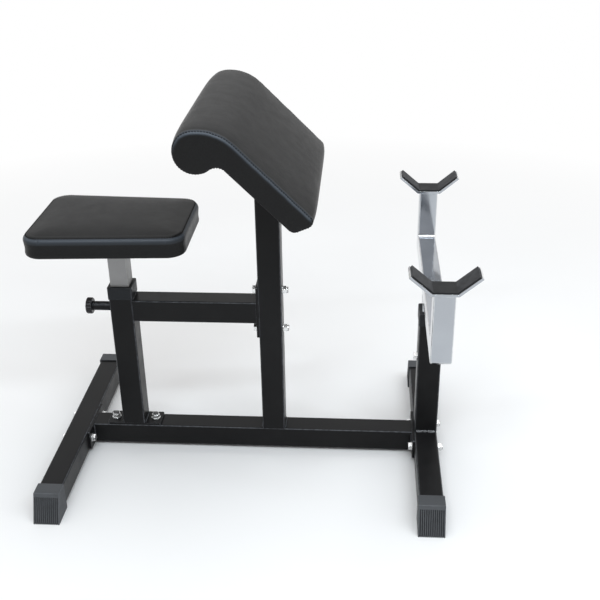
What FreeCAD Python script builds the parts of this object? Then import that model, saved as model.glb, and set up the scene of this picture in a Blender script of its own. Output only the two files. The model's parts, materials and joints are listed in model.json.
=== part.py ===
import FreeCAD, Part
import math
import os
import re
import Sketcher
from FreeCAD import Placement, Rotation, Vector

# Preacher curl bench: a square-tube frame with a sliding seat, a sloping arm pad and a bar rest.
# Millimetres. +X runs along the bench from the seat to the bar rest, +Z is up, the floor is Z = 0,
# and the bench is symmetric about Y = 0.

# Driving sizes
SIZES = {
    # square tube of the frame
    "tube_side": 50,
    "tube_wall": 2,
    "tube_corner": 4,
    # square tube that slides inside it
    "slide_side": 40,
    "slide_wall": 2,
    "slide_corner": 3,
    "slide_play": 0.2,
    # places of the posts and cross tubes along the bench
    "rear_base_x": -408,
    "seat_post_x": -283,
    "mid_post_x": 38,
    "front_base_x": 380,
    # heights of the frame
    "floor_gap": 8,
    "beam_drop": 2,
    "base_length": 560,
    "crossbar_z": 350,
    "post_margin": 3,
    "front_post_top": 328,
    # bolted plates
    "plate_length": 122,
    "plate_width": 48,
    "plate_thickness": 5,
    "plate_corner": 5,
    "bolt_inset": 15,
    # bolts, washers and lock nuts
    "bolt_radius": 5,
    "bolt_play": 0.25,
    "thread_play": 0.05,
    "head_across": 16,
    "head_height": 6.4,
    "washer_radius": 10,
    "washer_thickness": 2,
    "nut_height": 7,
    "nut_collar_radius": 7.2,
    "nut_collar_height": 3,
    "thread_overhang": 1,
    "dome_radius": 11,
    "dome_edge_radius": 6,
    "dome_height": 4,
    # ribbed feet
    "foot_wall": 2.5,
    "foot_play": 0.2,
    "foot_roof": 3,
    "foot_cover": 28,
    "foot_end": 4,
    "foot_slant": 25,
    "foot_rounding": 2.2,
    "rib_count": 12,
    "rib_gap": 2,
    "rib_depth": 1.8,
    "rib_band": 9,
    # plastic collars
    "collar_height": 28,
    "collar_overhang": 1.5,
    "sleeve_depth": 20,
    # seat tube and pull pin
    "seat_tube_length": 350,
    "hole_pitch": 25,
    "hole_steps": 3,
    "barrel_radius": 10,
    "barrel_length": 43,
    "plunger_radius": 5,
    "plunger_play": 0.08,
    "nose_gap": 0.3,
    "knob_gap": 0.3,
    "knob_radius": 17.75,
    "knob_thickness": 13,
    "knob_rounding": 2.5,
    "knob_bore_depth": 9,
    "flute_count": 10,
    "flute_radius": 4,
    # seat
    "seat_reach": 105,
    "seat_length": 326,
    "seat_rear_width": 260,
    "seat_front_width": 224,
    "seat_wall_height": 33,
    "seat_crown": 16.5,
    "seat_corner": 38,
    "seat_tuck": 4,
    "seat_pinch": 1.5,
    "seat_side_draw": 0.8,
    "seat_plate_side": 160,
    "seat_plate_thickness": 5,
    # boards inside the cushions, and the screws that hold them
    "board_thickness": 12,
    "board_margin": 20,
    "board_play": 0.3,
    "board_corner": 20,
    "board_edge": 5,
    "screw_radius": 3,
    "screw_depth": 9,
    "screw_inset": 16,
    "screw_head_radius": 6.5,
    "screw_head_height": 4,
    # arm pad, measured along (u) and square to (v) its sloping face
    "arm_slope_z": 748,
    "arm_tilt": 45,
    "arm_width": 458,
    "arm_thickness": 42,
    "arm_end": 156,
    "arm_end_slant": 19,
    "arm_end_rounding": 12,
    "arm_crown": 7,
    "roll_radius": 36,
    "roll_crown": 9,
    "roll_along": -88,
    "roll_sink": 20.6,
    "blend_radius": 90,
    "hook_radius": 24,
    "bracket_length": 108,
    "bracket_width": 120,
    "bracket_thickness": 5,
    # bar rest
    "stem_length": 216,
    "stem_bolt_drop": 88,
    "stem_reach": 25,
    "yoke_span": 520,
    "yoke_height": 146,
    "yoke_outer_bend": 14,
    "yoke_inner_bend": 6,
    "yoke_bend_fill": 8,
    "cradle_flat": 50,
    "cradle_span": 132,
    "cradle_rise": 35,
    "cradle_depth": 46,
    "cradle_thickness": 5,
    "liner_thickness": 4,
    "liner_margin": 2,
}

# Values that follow from the driving sizes
FOLLOWING = {
    "base_mid": "floor_gap + tube_side / 2",
    "base_top": "floor_gap + tube_side",
    "beam_bottom": "floor_gap - beam_drop",
    "beam_top": "beam_bottom + tube_side",
    "beam_start": "rear_base_x + tube_side / 2 + plate_thickness",
    "beam_end": "front_base_x - tube_side / 2 - plate_thickness",
    "seat_post_foot": "beam_top + plate_thickness",
    "seat_post_top": "crossbar_z + max(tube_side / 2; plunger_radius + sleeve_depth) + post_margin",
    "crossbar_start": "seat_post_x + tube_side / 2",
    "crossbar_end": "mid_post_x - tube_side / 2 - plate_thickness",
    "bolt_spacing": "plate_length - 2 * bolt_inset",
    "bolt_hole": "bolt_radius + bolt_play",
    "bolt_tail": "washer_thickness + nut_height + nut_collar_height + thread_overhang",
    "bolt_length": "washer_thickness + plate_thickness + tube_side + bolt_tail",
    "foot_back": "base_length / 2 - foot_cover",
    "foot_edge": "base_length / 2 + foot_end",
    "foot_toe": "foot_edge + foot_slant",
    "foot_width": "tube_side + 2 * foot_wall",
    "foot_height": "base_top + foot_roof",
    "foot_lean": "atan(foot_slant / foot_height)",
    "rib_pitch": "foot_width / (rib_count + 1)",
    "rib_length": "foot_height / cos(foot_lean) - rib_band",
    "collar_side": "tube_side + 2 * collar_overhang",
    "slide_bore": "slide_side + 2 * slide_play",
    "sleeve_side": "tube_side - 2 * tube_wall - 2 * slide_play",
    "seat_tube_top": "seat_post_top + collar_height + seat_reach",
    "seat_tube_foot": "seat_tube_top - seat_tube_length",
    "seat_bottom_z": "seat_tube_top + seat_plate_thickness",
    "seat_screw_reach": "seat_plate_side / 2 - screw_inset",
    "barrel_start": "seat_post_x - tube_side / 2",
    "knob_start": "barrel_start - barrel_length - knob_gap",
    "nose_x": "seat_post_x - slide_side / 2 - nose_gap",
    "seat_taper": "(seat_rear_width - seat_front_width) / (2 * seat_length)",
    "roll_drop": "roll_radius + roll_sink",
    "hook_drop": "arm_thickness + hook_radius - roll_drop",
    "hook_end": "roll_along + sqrt((roll_radius + roll_crown + hook_radius) ^ 2 - hook_drop ^ 2)",
    "arm_board_start": "hook_end + board_edge",
    "arm_board_end": "arm_end - arm_end_slant - arm_end_rounding - board_edge",
    "arm_board_middle": "(arm_board_start + arm_board_end) / 2",
    "arm_board_length": "arm_board_end - arm_board_start",
    "bracket_middle": "(arm_thickness + bracket_thickness) * tan(arm_tilt)",
    "stem_bolt_z": "front_post_top - stem_bolt_drop",
    "yoke_cross_bottom": "front_post_top + collar_height + stem_reach",
    "yoke_top": "yoke_cross_bottom + yoke_height",
    "yoke_bore": "slide_side - 2 * slide_wall",
    "cradle_lean": "atan(2 * cradle_rise / (cradle_span - cradle_flat))",
}

doc = FreeCAD.newDocument("PreacherCurlBench")
sheet = doc.addObject("Spreadsheet::Sheet", "Sizes")
for row, (size_name, size_value) in enumerate(SIZES.items(), 1):
    sheet.set("A%d" % row, size_name)
    sheet.set("B%d" % row, str(size_value))
    sheet.setAlias("B%d" % row, size_name)
doc.recompute()
derived = doc.addObject("App::VarSet", "Derived")
derived.addProperty("App::PropertyFloat", "probe")
pieces = []


# Formulas, places and basic features

def cells(formula):
    """Point each name in a formula at the sheet or at the values that follow from it."""
    def owner(match):
        word = match.group(0)
        if word in SIZES:
            return "Sizes." + word
        if word in FOLLOWING:
            return "Derived." + word
        return word
    return re.sub(r"[A-Za-z_]\w*", owner, formula)


def number(formula):
    """The value of a formula in the sheet's names."""
    derived.setExpression("probe", cells(formula))
    derived.recompute()
    return derived.probe


def bind(item, prop, formula):
    """Let a property follow a formula."""
    item.setExpression(prop, cells(formula))


def place(item, spot, turn=None):
    """Turn an item, and let its place follow three formulas."""
    item.Placement = Placement(Vector(), turn or Rotation())
    for axis, formula in zip("xyz", spot):
        if formula != "0":
            bind(item, "Placement.Base." + axis, formula)


def new_body(label):
    """An empty body that becomes one piece of the bench."""
    body = doc.addObject("PartDesign::Body", label)
    pieces.append(body)
    return body


def new_sketch(body, role="XY_Plane"):
    """A sketch on one of the body's own planes."""
    sketch = body.newObject("Sketcher::SketchObject", body.Name + "_sketch")
    plane = next(item for item in body.Origin.OriginFeatures if item.Role == role)
    sketch.AttachmentSupport = [(plane, "")]
    sketch.MapMode = "FlatFace"
    return sketch


def dimension(sketch, constraint, formula):
    """Add a sized constraint that follows a formula."""
    index = sketch.addConstraint(constraint)
    bind(sketch, "Constraints[%d]" % index, formula)


def draw_rounded(sketch, width, height, corner):
    """A rounded rectangle about the sketch's origin."""
    x = number(width) / 2
    y = number(height) / 2
    r = number(corner)
    first = sketch.GeometryCount
    for start, end in (
        ((r - x, -y), (x - r, -y)),
        ((x, r - y), (x, y - r)),
        ((x - r, y), (r - x, y)),
        ((-x, y - r), (-x, r - y)),
    ):
        sketch.addGeometry(Part.LineSegment(Vector(*start, 0), Vector(*end, 0)), False)
    for quarter, (cx, cy) in enumerate(((x - r, r - y), (x - r, y - r), (r - x, y - r), (r - x, r - y))):
        begin = (quarter - 1) * math.pi / 2
        circle = Part.Circle(Vector(cx, cy, 0), Vector(0, 0, 1), r)
        sketch.addGeometry(Part.ArcOfCircle(circle, begin, begin + math.pi / 2), False)
    rule = Sketcher.Constraint
    for side in range(4):
        arc = first + 4 + side
        sketch.addConstraint(rule("Tangent", first + side, 2, arc, 1))
        sketch.addConstraint(rule("Tangent", arc, 2, first + (side + 1) % 4, 1))
        if side:
            sketch.addConstraint(rule("Equal", first + 4, arc))
    for side in (0, 2):
        sketch.addConstraint(rule("Horizontal", first + side))
        sketch.addConstraint(rule("Vertical", first + side + 1))
    sketch.addConstraint(rule("Symmetric", first, 1, first + 2, 1, -1, 1))
    dimension(sketch, rule("DistanceX", first + 3, 1, first + 1, 1, 2 * x), width)
    dimension(sketch, rule("DistanceY", first, 1, first + 2, 2, 2 * y), height)
    dimension(sketch, rule("Radius", first + 4, r), corner)


def draw_polygon(sketch, corners):
    """A closed polygon whose corners follow formulas."""
    points = [Vector(number(x), number(y), 0) for x, y in corners]
    count = len(points)
    for index in range(count):
        sketch.addGeometry(Part.LineSegment(points[index], points[(index + 1) % count]), False)
    for index in range(count):
        sketch.addConstraint(Sketcher.Constraint("Coincident", index, 2, (index + 1) % count, 1))
    for index, (x, y) in enumerate(corners):
        dimension(sketch, Sketcher.Constraint("DistanceX", -1, 1, index, 1, points[index].x), x)
        dimension(sketch, Sketcher.Constraint("DistanceY", -1, 1, index, 1, points[index].y), y)


def pad(body, sketch, length, midplane=False, down=False):
    """Extrude a sketch."""
    feature = body.newObject("PartDesign::Pad", body.Name + "_pad")
    feature.Profile = sketch
    feature.Midplane = midplane
    feature.Reversed = down
    bind(feature, "Length", length)
    sketch.Visibility = False
    return feature


def drill(body, spot, direction, radius, depth):
    """A round hole from a spot along a direction."""
    hole = body.newObject("PartDesign::SubtractiveCylinder", body.Name + "_hole")
    bind(hole, "Radius", radius)
    bind(hole, "Height", depth)
    place(hole, spot, Rotation(Vector(0, 0, 1), direction))
    return hole


def cut_box(body, spot, length, width, height, turn=None):
    """A box-shaped cut with its lowest corner at a spot."""
    box = body.newObject("PartDesign::SubtractiveBox", body.Name + "_cut")
    bind(box, "Length", length)
    bind(box, "Width", width)
    bind(box, "Height", height)
    place(box, spot, turn)
    return box


def round_edges(body, radius, wanted):
    """Fillet the edges of the body that a test picks."""
    doc.recompute()
    tip = body.Tip
    names = ["Edge%d" % n for n, edge in enumerate(tip.Shape.Edges, 1) if wanted(edge)]
    fillet = body.newObject("PartDesign::Fillet", body.Name + "_fillet")
    fillet.Base = (tip, names)
    bind(fillet, "Radius", radius)
    return fillet


def runs_along(edge, axis):
    """Whether an edge is straight and parallel to an axis."""
    if edge.Curve.TypeId != "Part::GeomLine":
        return False
    return abs(edge.tangentAt(edge.FirstParameter).dot(axis)) > 0.999


def slope_spot(along, above):
    """The place of a point given along (u) and square to (v) the arm pad's sloping face."""
    x = "mid_post_x + (%s) * cos(arm_tilt) + (%s) * sin(arm_tilt)" % (along, above)
    z = "arm_slope_z - (%s) * sin(arm_tilt) + (%s) * cos(arm_tilt)" % (along, above)
    return x, "0", z


def tilt(item):
    """Let an item's turn about Y follow the slope of the arm pad."""
    bind(item, "Placement.Rotation.Angle", "arm_tilt")


for value_name, value_formula in FOLLOWING.items():
    derived.addProperty("App::PropertyFloat", value_name)
    bind(derived, value_name, value_formula)
    derived.recompute()

ALONG_X = Vector(1, 0, 0)
ALONG_Y = Vector(0, 1, 0)
UP = Vector(0, 0, 1)
LEVEL = Rotation()
UP_TO_X = Rotation(ALONG_Y, 90)
UP_TO_MINUS_X = Rotation(ALONG_Y, -90)
UP_TO_Y = Rotation(ALONG_X, -90)
HALF_TURN = Rotation(UP, 180)
SLOPE = Rotation(ALONG_Y, SIZES["arm_tilt"])
PLATE_ACROSS = Rotation(ALONG_Y, UP, ALONG_X, "ZXY")
PLATE_UPRIGHT = Rotation(UP, -ALONG_Y, ALONG_X, "ZXY")


# Square tubes of the frame

def tube(label, kind, length, spot, turn=None):
    """A hollow square tube; its own Z axis runs along it."""
    body = new_body(label)
    sketch = new_sketch(body)
    side = kind + "_side"
    wall = kind + "_wall"
    corner = kind + "_corner"
    draw_rounded(sketch, side, side, corner)
    inside = "%s - 2 * %s" % (side, wall)
    draw_rounded(sketch, inside, inside, "%s - %s" % (corner, wall))
    pad(body, sketch, length)
    place(body, spot, turn)
    return body


def cross_holes(body, heights):
    """Bolt holes through both walls of a frame tube, along its own X axis."""
    for height in heights:
        drill(body, ("-tube_side", "0", height), ALONG_X, "bolt_hole", "2 * tube_side")


pair = ("+ bolt_spacing / 2", "- bolt_spacing / 2")

for end in ("rear", "front"):
    base_start = (end + "_base_x", "-base_length / 2", "base_mid")
    base = tube(end + "_base_tube", "tube", "base_length", base_start, UP_TO_Y)
    cross_holes(base, ["base_length / 2 " + step for step in pair])

beam_spot = ("beam_start", "0", "beam_bottom + tube_side / 2")
beam = tube("main_beam", "tube", "beam_end - beam_start", beam_spot, UP_TO_X)
cross_holes(beam, ["seat_post_x - beam_start " + step for step in pair])

seat_post_start = ("seat_post_x", "0", "seat_post_foot")
seat_post = tube("seat_post", "tube", "seat_post_top - seat_post_foot", seat_post_start)
pin_spot = ("0", "0", "crossbar_z - seat_post_foot")
drill(seat_post, pin_spot, -ALONG_X, "plunger_radius + bolt_play", "tube_side")

tube("crossbar", "tube", "crossbar_end - crossbar_start", ("crossbar_start", "0", "crossbar_z"), UP_TO_X)

mid_post = tube("mid_post", "tube", "arm_slope_z - beam_top", ("mid_post_x", "0", "beam_top"))
cross_holes(mid_post, ["crossbar_z - beam_top " + step for step in pair])
pad_depth = "(arm_thickness + bracket_thickness)"
slope_cut = cut_box(
    mid_post,
    (
        "-2 * tube_side * cos(arm_tilt) - %s * sin(arm_tilt)" % pad_depth,
        "-tube_side",
        "arm_slope_z - beam_top + 2 * tube_side * sin(arm_tilt) - %s * cos(arm_tilt)" % pad_depth,
    ),
    "6 * tube_side", "2 * tube_side", "4 * tube_side", SLOPE,
)
tilt(slope_cut)

front_post = tube("front_post", "tube", "front_post_top - base_top", ("front_base_x", "0", "base_top"))
cross_holes(front_post, ["stem_bolt_z - base_top"])


# Bolted plates

def plate(label, spot, turn=None):
    """A flange plate with two bolt holes; its own X axis runs along it."""
    body = new_body(label)
    sketch = new_sketch(body)
    draw_rounded(sketch, "plate_length", "plate_width", "plate_corner")
    pad(body, sketch, "plate_thickness")
    for step in pair:
        drill(body, (step, "0", "-plate_thickness"), UP, "bolt_hole", "3 * plate_thickness")
    place(body, spot, turn)
    return body


plate("beam_rear_plate", ("beam_start - plate_thickness", "0", "base_mid"), PLATE_ACROSS)
plate("beam_front_plate", ("beam_end", "0", "base_mid"), PLATE_ACROSS)
plate("seat_post_plate", ("seat_post_x", "0", "beam_top"))
plate("crossbar_plate", ("crossbar_end", "0", "crossbar_z"), PLATE_UPRIGHT)


# Ribbed feet

def foot(label, base_x, turn):
    """An end cap with a slanted, ribbed face that lifts the cross tube off the floor."""
    body = new_body(label)
    sketch = new_sketch(body, "YZ_Plane")
    draw_polygon(sketch, [
        ("foot_back", "0"),
        ("foot_toe", "0"),
        ("foot_edge", "foot_height"),
        ("foot_back", "foot_height"),
    ])
    pad(body, sketch, "foot_width", midplane=True)
    back = number("foot_back") + 1
    round_edges(body, "foot_rounding", lambda edge: edge.CenterOfMass.y > back and edge.CenterOfMass.z > 1)
    cut_box(
        body,
        ("-tube_side / 2 - foot_play", "foot_back - foot_wall", "floor_gap - foot_play"),
        "tube_side + 2 * foot_play", "foot_cover + foot_wall + foot_play", "tube_side + 2 * foot_play",
    )
    groove = cut_box(
        body,
        (
            "-(rib_count - 1) / 2 * rib_pitch - rib_gap / 2",
            "foot_toe - rib_depth * cos(foot_lean) + rib_gap * sin(foot_lean)",
            "-rib_gap * cos(foot_lean) - rib_depth * sin(foot_lean)",
        ),
        "rib_gap", "3 * rib_depth", "rib_length + rib_gap", Rotation(ALONG_X, number("foot_lean")),
    )
    bind(groove, "Placement.Rotation.Angle", "foot_lean")
    grooves = body.newObject("PartDesign::LinearPattern", label + "_ribs")
    grooves.Originals = [groove]
    axis = next(item for item in body.Origin.OriginFeatures if item.Role == "X_Axis")
    grooves.Direction = (axis, [""])
    bind(grooves, "Length", "(rib_count - 1) * rib_pitch")
    bind(grooves, "Occurrences", "rib_count")
    body.Tip = grooves
    place(body, (base_x, "0", "0"), turn)


for end in ("rear", "front"):
    foot(end + "_left_foot", end + "_base_x", LEVEL)
    foot(end + "_right_foot", end + "_base_x", HALF_TURN)


# Plastic collars and the tubes that slide in them

def collar(label, x, post_top):
    """A square collar on top of a post, with a sleeve inside the post."""
    body = new_body(label)
    for side, corner, height, down in (
        ("collar_side", "tube_corner", "collar_height", False),
        ("sleeve_side", "slide_corner", "sleeve_depth", True),
    ):
        sketch = new_sketch(body)
        draw_rounded(sketch, side, side, corner)
        draw_rounded(sketch, "slide_bore", "slide_bore", "slide_corner - slide_play")
        pad(body, sketch, height, down=down)
    top = number("collar_height")
    outside = number("collar_side") / 2 - 0.1
    round_edges(
        body, "collar_overhang",
        lambda edge: edge.CenterOfMass.z > top - 0.1
        and max(abs(edge.Vertexes[0].X), abs(edge.Vertexes[0].Y)) > outside,
    )
    place(body, (x, "0", post_top))


collar("seat_collar", "seat_post_x", "seat_post_top")
collar("yoke_collar", "front_base_x", "front_post_top")

seat_tube = tube("seat_tube", "slide", "seat_tube_length", ("seat_post_x", "0", "seat_tube_foot"))
steps = range(-SIZES["hole_steps"], SIZES["hole_steps"] + 1)
for step in steps:
    height = "crossbar_z - seat_tube_foot + %d * hole_pitch" % step
    drill(seat_tube, ("0", "0", height), -ALONG_X, "plunger_radius + bolt_play", "slide_side")

stem = tube("yoke_stem", "slide", "stem_length", ("front_base_x", "0", "yoke_cross_bottom - stem_length"))
stem_hole = "stem_bolt_z - yoke_cross_bottom + stem_length"
drill(stem, ("-slide_side", "0", stem_hole), ALONG_X, "bolt_hole", "2 * slide_side")


# Pull pin

barrel = doc.addObject("Part::Cylinder", "pin_barrel_outside")
bind(barrel, "Radius", "barrel_radius")
bind(barrel, "Height", "barrel_length")
bore = doc.addObject("Part::Cylinder", "pin_barrel_bore")
bind(bore, "Radius", "plunger_radius + plunger_play")
bind(bore, "Height", "barrel_length")
pin_barrel = doc.addObject("Part::Cut", "pin_barrel")
pin_barrel.Base = barrel
pin_barrel.Tool = bore
place(pin_barrel, ("barrel_start", "0", "crossbar_z"), UP_TO_MINUS_X)
pieces.append(pin_barrel)

plunger = doc.addObject("Part::Cylinder", "pin_plunger")
bind(plunger, "Radius", "plunger_radius")
bind(plunger, "Height", "nose_x - knob_start + knob_bore_depth")
place(plunger, ("nose_x", "0", "crossbar_z"), UP_TO_MINUS_X)
pieces.append(plunger)

knob = new_body("pin_knob")
knob_disc = knob.newObject("PartDesign::AdditiveCylinder", "pin_knob_disc")
bind(knob_disc, "Radius", "knob_radius")
bind(knob_disc, "Height", "knob_thickness")
round_edges(knob, "knob_rounding", lambda edge: not runs_along(edge, UP))
drill(knob, ("0", "0", "0"), UP, "plunger_radius + thread_play", "knob_bore_depth")
flute_spot = ("knob_radius + flute_radius / 2", "0", "-knob_thickness")
flute = drill(knob, flute_spot, UP, "flute_radius", "3 * knob_thickness")
flutes = knob.newObject("PartDesign::PolarPattern", "pin_knob_flutes")
flutes.Originals = [flute]
flutes.Axis = (next(item for item in knob.Origin.OriginFeatures if item.Role == "Z_Axis"), [""])
flutes.Angle = 360
bind(flutes, "Occurrences", "flute_count")
knob.Tip = flutes
place(knob, ("knob_start", "0", "crossbar_z"), UP_TO_MINUS_X)


# Plates and boards under the cushions

signs = [(x, y) for x in ("", "-") for y in ("", "-")]
seat_screw_spots = [(x + "seat_screw_reach", y + "seat_screw_reach") for x, y in signs]
arm_screw_spots = [
    (x + "(bracket_length / 2 - screw_inset)", y + "(bracket_width / 2 - screw_inset)") for x, y in signs
]


def screw_holes(body, spots, thickness):
    """Screw holes through a plate or board."""
    for x, y in spots:
        drill(body, (x, y, "-" + thickness), UP, "screw_radius + thread_play", "3 * " + thickness)


seat_plate = new_body("seat_plate")
plate_outline = new_sketch(seat_plate)
draw_rounded(plate_outline, "seat_plate_side", "seat_plate_side", "plate_corner")
pad(seat_plate, plate_outline, "seat_plate_thickness")
screw_holes(seat_plate, seat_screw_spots, "seat_plate_thickness")
place(seat_plate, ("seat_post_x", "0", "seat_tube_top"))


def seat_corners(inset):
    """Corners of the seat's tapered outline, drawn in by an inset."""
    reach = "(seat_length / 2 - %s)" % inset
    middle = "((seat_rear_width + seat_front_width) / 4 - %s * sqrt(1 + seat_taper ^ 2))" % inset
    rear = "(%s + %s * seat_taper)" % (middle, reach)
    front = "(%s - %s * seat_taper)" % (middle, reach)
    return [
        ("-" + reach, "-" + rear),
        (reach, "-" + front),
        (reach, front),
        ("-" + reach, rear),
    ]


seat_board = new_body("seat_board")
board_outline = new_sketch(seat_board)
draw_polygon(board_outline, seat_corners("(board_margin + board_play)"))
pad(seat_board, board_outline, "board_thickness")
round_edges(seat_board, "board_corner", lambda edge: runs_along(edge, UP))
screw_holes(seat_board, seat_screw_spots, "board_thickness")
place(seat_board, ("seat_post_x", "0", "seat_bottom_z"))

pad_bracket = new_body("pad_bracket")
bracket_outline = new_sketch(pad_bracket)
draw_rounded(bracket_outline, "bracket_length", "bracket_width", "plate_corner")
pad(pad_bracket, bracket_outline, "bracket_thickness")
screw_holes(pad_bracket, arm_screw_spots, "bracket_thickness")
place(pad_bracket, slope_spot("bracket_middle", "-arm_thickness - bracket_thickness"), SLOPE)
tilt(pad_bracket)

arm_board = new_body("arm_board")
board_outline = new_sketch(arm_board)
draw_rounded(board_outline, "arm_board_length", "arm_width - 2 * board_margin", "plate_corner")
pad(arm_board, board_outline, "board_thickness")
shift = "bracket_middle - arm_board_middle + "
screw_holes(arm_board, [(shift + x, y) for x, y in arm_screw_spots], "board_thickness")
place(arm_board, slope_spot("arm_board_middle", "-arm_thickness"), SLOPE)
tilt(arm_board)


# Upholstered cushions

def between(start, end, share):
    """A point part of the way from one point to another."""
    return start + (end - start) * share


def corner_arc(before, corner, after, radius):
    """Start, middle and end of the arc that rounds a corner."""
    back = (before - corner).normalize()
    ahead = (after - corner).normalize()
    half = back.getAngle(ahead) / 2
    reach = radius / math.tan(half)
    bisector = (back + ahead).normalize()
    middle = corner + bisector * (radius / math.sin(half) - radius)
    return corner + back * reach, middle, corner + ahead * reach


def arc(start, middle, end):
    """An arc through three points."""
    return Part.Arc(start, middle, end).toShape()


def seat_wire(height, inset):
    """The seat's outline at a height, with its long and short sides drawn in a little."""
    draw = number("seat_side_draw")
    points = [Vector(number(x), number(y), height) for x, y in seat_corners("(%g)" % inset)]
    radius = number("seat_corner") * (1 - inset / number("seat_front_width / 2"))
    arcs = []
    for index, point in enumerate(points):
        arcs.append(corner_arc(points[index - 1], point, points[(index + 1) % 4], radius))
    edges = []
    for index, (start, middle, end) in enumerate(arcs):
        edges.append(arc(start, middle, end))
        onward = arcs[(index + 1) % 4][0]
        centre = Vector(0, 0, height)
        hollow = between(end, onward, 0.5)
        edges.append(arc(end, hollow + (centre - hollow).normalize() * draw, onward))
    return Part.Wire(edges)


# the wall is tucked in under the seat and drawn in a little between there and the seam
wall_insets = [number(size) for size in ("seat_tuck", "seat_pinch", "seat_pinch", "0")]
# the crown rises steeply from the seam and flattens towards the middle of the seat
crown_steps = 8
crown_reach = 0.8
wall_height = number("seat_wall_height")
crown = number("seat_crown")
wall_wires = [seat_wire(wall_height * step / 3, inset) for step, inset in enumerate(wall_insets)]
crown_wires = []
for step in range(crown_steps + 1):
    share = step / crown_steps
    inset = share * crown_reach * number("seat_front_width / 2")
    crown_wires.append(seat_wire(wall_height + crown * (1 - (1 - share) ** 5), inset))
seat_shape = Part.makeLoft(wall_wires, True).fuse(Part.makeLoft(crown_wires, True))
pocket_points = [Vector(number(x), number(y), 0) for x, y in seat_corners("board_margin")]
pocket = Part.Face(Part.makePolygon(pocket_points + pocket_points[:1]))
seat_shape = seat_shape.cut(pocket.extrude(UP * number("board_thickness + board_play")))
seat_cushion = doc.addObject("Part::Feature", "seat_cushion")
seat_cushion.Shape = seat_shape.removeSplitter()
place(seat_cushion, ("seat_post_x", "0", "seat_bottom_z"))
pieces.append(seat_cushion)


def polar(centre, radius, angle):
    """A point on a circle in the plane of an arm pad section."""
    return centre + Vector(math.cos(angle), 0, math.sin(angle)) * radius


def heading(start, end):
    """The direction from one point of a section to another, as an angle."""
    return math.atan2(end.z - start.z, end.x - start.x)


def arm_wire(side, swell):
    """The arm pad's section at a place across its width, swollen outward by its filling."""
    depth = number("arm_thickness")
    roll_radius = number("roll_radius") + swell * number("roll_crown / arm_crown")
    blend_radius = number("blend_radius") + swell
    hook_radius = number("hook_radius")
    roll = Vector(number("roll_along"), side, -number("roll_drop"))
    rise = swell - blend_radius - roll.z
    blend_along = roll.x + math.sqrt((blend_radius - roll_radius) ** 2 - rise ** 2)
    blend = Vector(blend_along, side, swell - blend_radius)
    drop = number("hook_drop")
    hook_along = roll.x + math.sqrt((roll_radius + hook_radius) ** 2 - drop ** 2)
    hook = Vector(hook_along, side, -depth - hook_radius)
    top_start = Vector(blend.x, side, swell)
    under_end = Vector(hook.x, side, -depth)
    end = number("arm_end") + swell / 2
    top_corner = Vector(end, side, swell)
    low_corner = Vector(end - number("arm_end_slant"), side, -depth)
    rounding = number("arm_end_rounding")
    upper = corner_arc(top_start, top_corner, low_corner, rounding)
    lower = corner_arc(top_corner, low_corner, under_end, rounding)
    hook_angle = heading(roll, hook)
    blend_angle = heading(blend, roll)
    to_roll = heading(hook, roll)
    sweep = hook_angle + 2 * math.pi - blend_angle
    roll_points = [polar(roll, roll_radius, blend_angle + sweep * step / 4) for step in range(5)]
    edges = [
        Part.makeLine(top_start, upper[0]),
        arc(*upper),
        Part.makeLine(upper[2], lower[0]),
        arc(*lower),
        Part.makeLine(lower[2], under_end),
        arc(under_end, polar(hook, hook_radius, (math.pi / 2 + to_roll) / 2), roll_points[4]),
        arc(roll_points[4], roll_points[3], roll_points[2]),
        arc(roll_points[2], roll_points[1], roll_points[0]),
        arc(roll_points[0], polar(blend, blend_radius, (blend_angle + math.pi / 2) / 2), top_start),
    ]
    return Part.Wire(edges)


# the filling swells the sections quickly near the end seams and evenly over the middle
arm_steps = 8
half_width = number("arm_width / 2")
swellings = []
for step in range(-arm_steps, arm_steps + 1):
    share = step / arm_steps
    swellings.append((half_width * share, math.sqrt(1 - share ** 4)))
arm_shape = Part.makeLoft([arm_wire(side, share * number("arm_crown")) for side, share in swellings], True)
recess = Part.makeBox(
    number("arm_board_length + 2 * board_play"),
    number("arm_width - 2 * board_margin + 2 * board_play"),
    number("2 * board_thickness + board_play"),
    Vector(
        number("arm_board_start - board_play"),
        number("board_margin - board_play - arm_width / 2"),
        number("-arm_thickness - board_thickness"),
    ),
)
arm_cushion = doc.addObject("Part::Feature", "arm_cushion")
arm_cushion.Shape = arm_shape.cut(recess)
place(arm_cushion, slope_spot("0", "0"), SLOPE)
tilt(arm_cushion)
pieces.append(arm_cushion)


# Bar rest

yoke = new_body("yoke_tube")
yoke_sketch = new_sketch(yoke, "YZ_Plane")
outer = "(yoke_span / 2 + slide_side / 2)"
inner = "(yoke_span / 2 - slide_side / 2)"
draw_polygon(yoke_sketch, [
    ("-" + outer, "0"),
    (outer, "0"),
    (outer, "yoke_top - yoke_cross_bottom"),
    (inner, "yoke_top - yoke_cross_bottom"),
    (inner, "slide_side"),
    ("-" + inner, "slide_side"),
    ("-" + inner, "yoke_top - yoke_cross_bottom"),
    ("-" + outer, "yoke_top - yoke_cross_bottom"),
])
pad(yoke, yoke_sketch, "slide_side", midplane=True)
arm_top = number("yoke_top - yoke_cross_bottom") - 1
slide = number("slide_side")
round_edges(
    yoke, "yoke_outer_bend",
    lambda edge: runs_along(edge, ALONG_X) and edge.CenterOfMass.z < slide / 2,
)
round_edges(
    yoke, "yoke_inner_bend",
    lambda edge: runs_along(edge, ALONG_X) and abs(edge.CenterOfMass.z - slide) < 1,
)
round_edges(
    yoke, "slide_corner",
    lambda edge: abs(abs(edge.CenterOfMass.x) - slide / 2) < 0.1 and edge.CenterOfMass.z < arm_top,
)
for sign in ("-", ""):
    cut_box(
        yoke,
        ("-yoke_bore / 2", "%syoke_span / 2 - yoke_bore / 2" % sign, "slide_wall + yoke_bend_fill"),
        "yoke_bore", "yoke_bore", "yoke_top",
    )
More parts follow.
